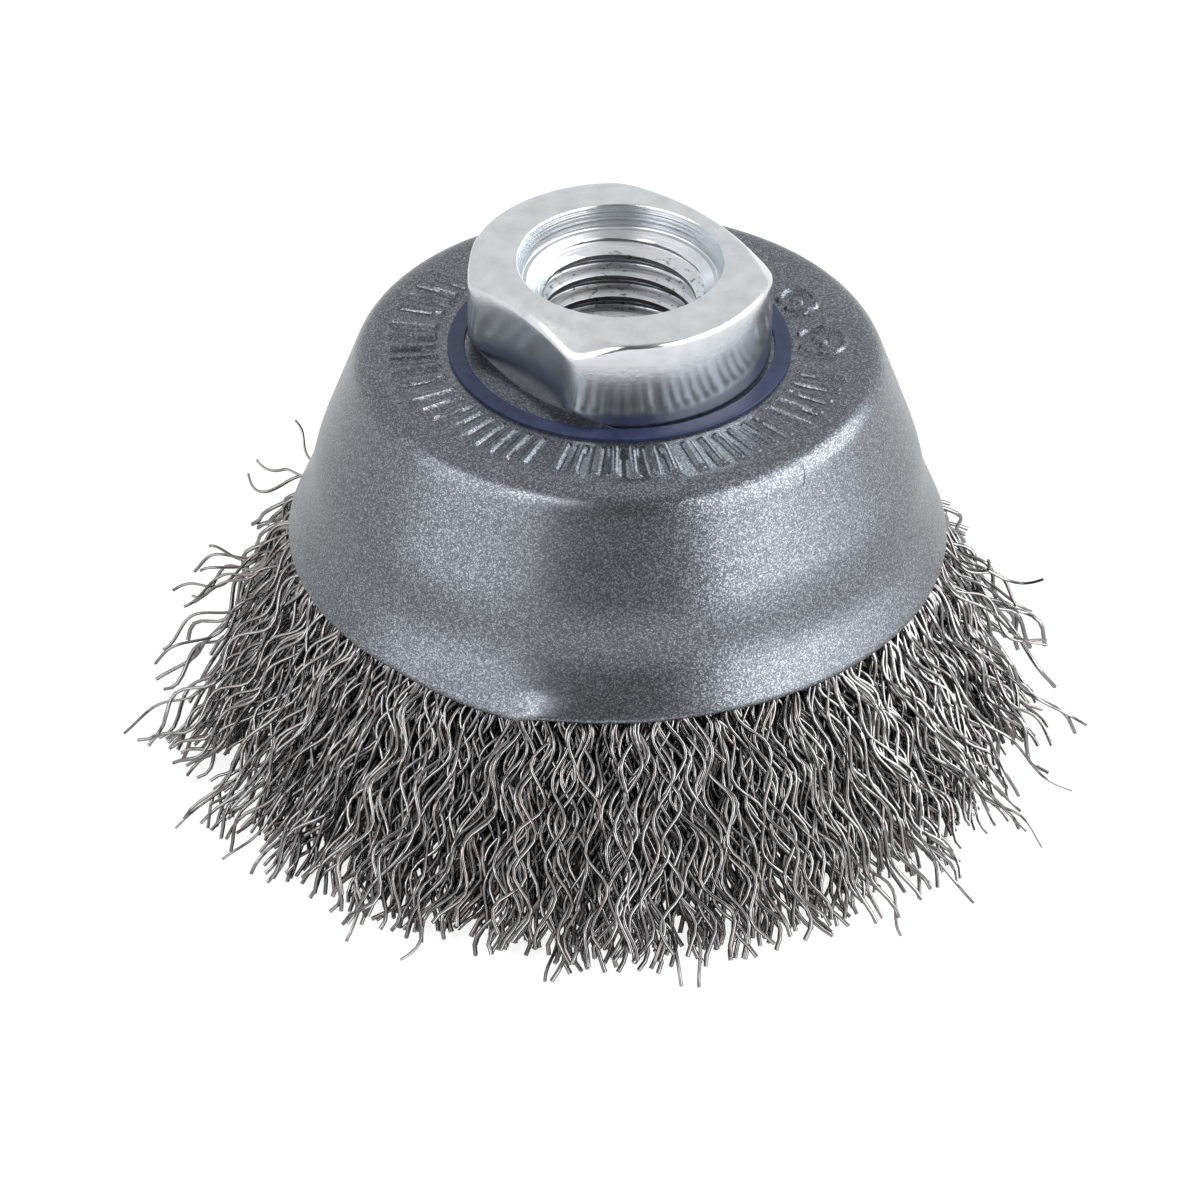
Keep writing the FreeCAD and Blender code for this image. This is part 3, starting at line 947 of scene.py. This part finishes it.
def zinc_plate():
    kit = Material("zinc_plate")
    at = kit.add("SeparateXYZ", {"Vector": kit.place()}).outputs
    flat = kit.add("CombineXYZ", {"X": at["X"], "Y": at["Y"]}).outputs[0]
    distance = kit.add("VectorMath", {0: flat}, operation="LENGTH").outputs["Value"]
    # Turning marks run round the axis, so they depend on radius and height only.
    along = kit.add("CombineXYZ", {"X": distance, "Y": at["Z"]}).outputs[0]
    links = {"Vector": along, "Scale": 1 / (ZINC["turning_mark"] * MM), "Detail": 3.0}
    lines = kit.add("TexNoise", links).outputs["Fac"]
    mouth, edge = NUT["mouth_radius"] * MM, ZINC["bore_edge"] * MM
    bored = kit.ramp(distance, mouth + edge, mouth - edge, 0, 1)
    cut_lines = kit.times(lines, kit.ramp(bored, 0, 1, *ZINC["mark_depth"]))
    pits = kit.times(kit.noise(ZINC["pit"], 4.0), ZINC["pit_depth"])
    height = kit.math("ADD", cut_lines, pits)
    # Dirt sits in the thread.
    first_dirt, full_dirt = (RECESS_FLOOR * MM - below * MM for below in ZINC["dirt_below"])
    deep = kit.ramp(at["Z"], first_dirt, full_dirt, 0, 1)
    specks = kit.ramp(kit.noise(ZINC["dirt"], 4.0, ZINC["dirt_stretch"]), *ZINC["dirt_edge"], 0, 1)
    dirt = kit.times(kit.times(specks, deep), bored)
    shade = kit.patches(ZINC["patch"], ZINC["patch_shade"], 5.0)
    shade = kit.times(shade, kit.ramp(dirt, 0, 1, 1.0, ZINC["dirt_shade"]))
    links = {"Height": height, "Strength": 1.0, "Distance": ZINC["bump"] * MM}
    kit.shade(
        Base_Color=kit.scaled(ZINC["colour"], shade),
        Metallic=1.0,
        Roughness=kit.ramp(bored, 0, 1, *ZINC["roughness"]),
        Normal=kit.add("Bump", links).outputs[0],
    )
    return kit.material


def ring_paint():
    kit = Material("ring_paint")
    patches = kit.patches(RING_PAINT["patch"], RING_PAINT["patch_shade"])
    kit.shade(
        Base_Color=kit.scaled(RING_PAINT["colour"], patches),
        Roughness=RING_PAINT["roughness"],
        Specular_IOR_Level=RING_PAINT["specular"],
    )
    return kit.material


def pressed_steel():
    kit = Material("pressed_steel")
    patches = kit.patches(STEEL["patch"], STEEL["patch_shade"])
    kit.shade(
        Base_Color=kit.scaled(STEEL["colour"], patches),
        Metallic=1.0,
        Roughness=STEEL["roughness"],
    )
    return kit.material


def wire_steel():
    """The inner wires are painted darker and browner, as painted shade deep in the skirt; the outer
    ones are bare steel.
    """
    kit = Material("wire_steel")
    tint = kit.add("Attribute", attribute_name="tint").outputs["Fac"]
    stain = kit.noise(WIRE_STEEL["stain"])
    stain = kit.ramp(stain, *WIRE_STEEL["stain_edge"], *WIRE_STEEL["stain_shade"])
    # Painted shade: the lower a wire's tint, the more of the dark brown shade colour it takes.
    deep_shade = kit.scaled(WIRE_STEEL["deep_shade_colour"], kit.ramp(tint, 0, 1, 1, 0))
    bare = kit.scaled(WIRE_STEEL["bare_colour"], kit.ramp(tint, 0, 1, 0, 1))
    kit.shade(
        Base_Color=kit.scaled(kit.vector("ADD", deep_shade, bare), stain),
        Metallic=1.0,
        Roughness=kit.ramp(tint, 0, 1, *WIRE_STEEL["roughness"]),
    )
    return kit.material


# Camera, lamps and backdrop

CAMERA = {
    "distance": 600.0,
    "rise": 34.81,
    "roll": 0.61,
    "lens": 221.4,
    "sensor": 36.0,
    "shift": (-0.0147, -0.0597),
    "nearest": 10.0,
}
# The room is bright, apart from the side behind the camera: axis, and where the dark starts and ends.
ROOM = {"bright": 0.85, "dark": 0.1, "dark_side": (("Y", -0.15, -0.85), ("Z", -0.38, 0.02))}
FLOOR = {
    "reach": 2.0,
    "level": -0.0001,
    "colour": 0.8,
    "shadow": 0.3,
    "white": 0.85,
    "mirrored": 0.1,
}
# Lamps in metres and watts: name, azimuth, rise, distance, width, height and power. Azimuth 0 is
# the camera's side, and plus is to the right.
SOFTBOXES = (
    ("left_box", -55, 14, 0.9, 0.9, 0.7, 5.0),
    ("left_top_box", -33, 34, 0.9, 0.35, 0.25, 1.6),
    ("right_box", 75, 15, 0.9, 1.5, 0.85, 21.0),
)
LAMP_TARGET = Vector((0, 0, 0.025))


def faces_back(direction):
    """Turn of a camera or lamp that looks against the direction."""
    return direction.to_track_quat("Z", "Y").to_matrix().to_4x4()


def set_camera():
    camera = bpy.data.objects.new("camera", bpy.data.cameras.new("camera"))
    bpy.context.scene.collection.objects.link(camera)
    camera.data.sensor_width = CAMERA["sensor"]
    camera.data.lens = CAMERA["lens"]
    camera.data.shift_x, camera.data.shift_y = CAMERA["shift"]
    camera.data.clip_start = CAMERA["nearest"] * MM
    rise = math.radians(CAMERA["rise"])
    back = Vector((0, -math.cos(rise), math.sin(rise)))
    roll = Matrix.Rotation(math.radians(CAMERA["roll"]), 4, "Z")
    place = Vector((0, 0, RIM_LEVEL)) + back * CAMERA["distance"]
    camera.matrix_world = Matrix.Translation(place * MM) @ faces_back(back) @ roll
    bpy.context.scene.camera = camera


def add_softbox(name, azimuth, rise, distance, width, height, watts):
    """Rectangular lamp that faces the brush."""
    lamp = bpy.data.objects.new(name, bpy.data.lights.new(name, "AREA"))
    lamp.data.shape = "RECTANGLE"
    lamp.data.size, lamp.data.size_y = width, height
    lamp.data.energy = watts
    turn, up = math.radians(azimuth), math.radians(rise)
    toward = Vector((math.sin(turn) * math.cos(up), -math.cos(turn) * math.cos(up), math.sin(up)))
    place = LAMP_TARGET + toward * distance
    lamp.matrix_world = Matrix.Translation(place) @ faces_back(toward)
    bpy.context.scene.collection.objects.link(lamp)


def set_world():
    """White behind the brush; a plain even room lights it, darker on the camera's side."""
    world = bpy.data.worlds.new("studio")
    bpy.context.scene.world = world
    world.use_nodes = True
    world.cycles.sampling_method = "NONE"
    kit = Nodes(world.node_tree)
    axes = kit.add("SeparateXYZ", {0: kit.add("TexCoord").outputs["Generated"]}).outputs
    dark = 1.0
    for axis, start, stop in ROOM["dark_side"]:
        links = {"Value": axes[axis], "From Min": start, "From Max": stop}
        part = kit.add("MapRange", links, interpolation_type="SMOOTHSTEP").outputs["Result"]
        dark = kit.times(dark, part)
    bright = kit.math("SUBTRACT", 1.0, dark)
    links = {0: bright, 1: ROOM["bright"] - ROOM["dark"], 2: ROOM["dark"]}
    room = kit.add("Math", links, operation="MULTIPLY_ADD").outputs[0]
    # The white backdrop shows in the metal too, apart from the dark side behind the camera.
    direct, mirrored = kit.eye_rays()
    shown = kit.math("MAXIMUM", direct, kit.times(mirrored, bright))
    ground = kit.tree.nodes["Background"].inputs
    kit.feed(ground["Strength"], kit.math("MAXIMUM", shown, room))
    kit.feed(ground["Color"], (1, 1, 1, 1))


def add_floor():
    """White floor that keeps a soft shadow of the brush."""
    mesh = bpy.data.meshes.new("floor")
    reach, level = FLOOR["reach"], FLOOR["level"]
    corners = [(x * reach, y * reach, level) for x, y in ((-1, -1), (1, -1), (1, 1), (-1, 1))]
    mesh.from_pydata(corners, [], [(0, 1, 2, 3)])
    plane = bpy.data.objects.new("floor", mesh)
    bpy.context.scene.collection.objects.link(plane)
    kit = Material("floor_white")
    direct, mirrored = kit.eye_rays()
    glow = kit.times(direct, FLOOR["white"])
    glow = kit.math("MAXIMUM", glow, kit.times(mirrored, FLOOR["mirrored"]))
    kit.shade(
        Base_Color=kit.scaled((1, 1, 1), kit.ramp(direct, 0, 1, FLOOR["colour"], FLOOR["shadow"])),
        Roughness=1.0,
        Specular_IOR_Level=0.0,
        Emission_Color=(1, 1, 1, 1),
        Emission_Strength=glow,
    )
    mesh.materials.append(kit.material)


build_cup()
build_nut()
build_ring()
for name in ("inner_cup", "holding_hoop"):
    finish_piece(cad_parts[name], pressed_steel(), "bare_steel")
build_wires(np.random.default_rng(SEED))

set_camera()
set_world()
add_floor()
for softbox in SOFTBOXES:
    add_softbox(*softbox)
bpy.context.scene.view_settings.view_transform = "Standard"
